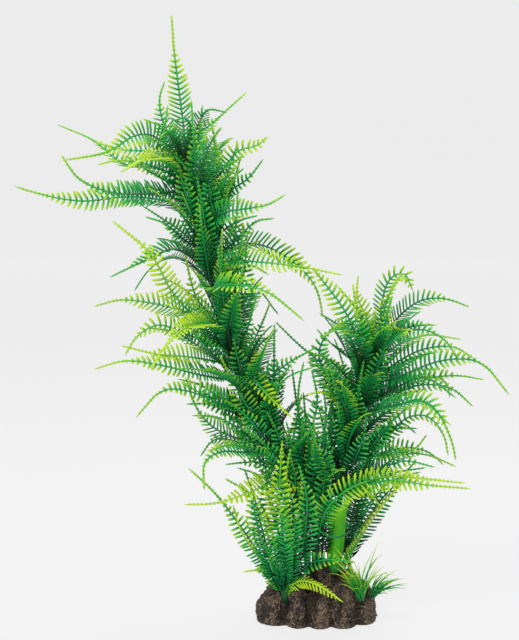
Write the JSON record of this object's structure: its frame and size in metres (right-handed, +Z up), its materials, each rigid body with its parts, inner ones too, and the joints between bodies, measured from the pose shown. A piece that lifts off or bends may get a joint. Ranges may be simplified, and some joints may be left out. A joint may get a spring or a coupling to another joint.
{
  "type": "artificial aquarium fern on driftwood base",
  "caption": "Tall artificial aquarium fern: arching comb-edged plastic fronds on leaning stems, rising with grass tufts from a fluted cast driftwood stump with a flat underside",
  "frame": {"origin": "centre of the stump's flat underside, on the surface it stands on", "axes": "+X to the right seen from the front, +Y to the back, +Z up along the plant; the front faces -Y"},
  "size_m": [0.3605, 0.2192, 0.4502],
  "materials": {
    "cast_driftwood": "rough granular cast resin with dry-brushed tan edges",
    "stem_green": "satin moulded plastic",
    "frond_green": "satin moulded plastic, lime towards the tips",
    "sheath_lime": "satin translucent moulded plastic",
    "grass_green": "satin moulded plastic",
    "twig_brown": "matt moulded plastic"
  },
  "bodies": {
    "root": {"driftwood_peg": "twig_brown", "driftwood_stump": "cast_driftwood", "front_frond_01": "frond_green", "front_frond_02": "frond_green", "front_frond_03": "frond_green", "front_frond_04": "frond_green", "front_frond_05": "frond_green", "front_frond_06": "frond_green", "front_stub": "stem_green", "grass_tuft_side": "grass_green", "grass_tuft_upright": "grass_green", "middle_frond_01": "frond_green", "middle_frond_02": "frond_green", "middle_stem": "stem_green", "right_frond_01": "frond_green", "right_frond_02": "frond_green", "right_frond_03": "frond_green", "right_frond_04": "frond_green", "right_frond_05": "frond_green", "right_frond_06": "frond_green", "right_frond_07": "frond_green", "right_frond_08": "frond_green", "right_frond_09": "frond_green", "right_frond_10": "frond_green", "right_frond_11": "frond_green", "right_frond_12": "frond_green", "right_frond_13": "frond_green", "right_frond_14": "frond_green", "right_frond_15": "frond_green", "right_stem": "stem_green", "stem_sleeve": "sheath_lime", "tall_frond_01": "frond_green", "tall_frond_02": "frond_green", "tall_frond_03": "frond_green", "tall_frond_04": "frond_green", "tall_frond_05": "frond_green", "tall_frond_06": "frond_green", "tall_frond_07": "frond_green", "tall_frond_08": "frond_green", "tall_frond_09": "frond_green", "tall_frond_10": "frond_green", "tall_frond_11": "frond_green", "tall_frond_12": "frond_green", "tall_frond_13": "frond_green", "tall_frond_14": "frond_green", "tall_frond_15": "frond_green", "tall_frond_16": "frond_green", "tall_frond_17": "frond_green", "tall_frond_18": "frond_green", "tall_frond_19": "frond_green", "tall_frond_20": "frond_green", "tall_frond_21": "frond_green", "tall_frond_22": "frond_green", "tall_frond_23": "frond_green", "tall_frond_24": "frond_green", "tall_frond_25": "frond_green", "tall_frond_26": "frond_green", "tall_frond_27": "frond_green", "tall_frond_28": "frond_green", "tall_stem": "stem_green"}
  },
  "joints": []
}
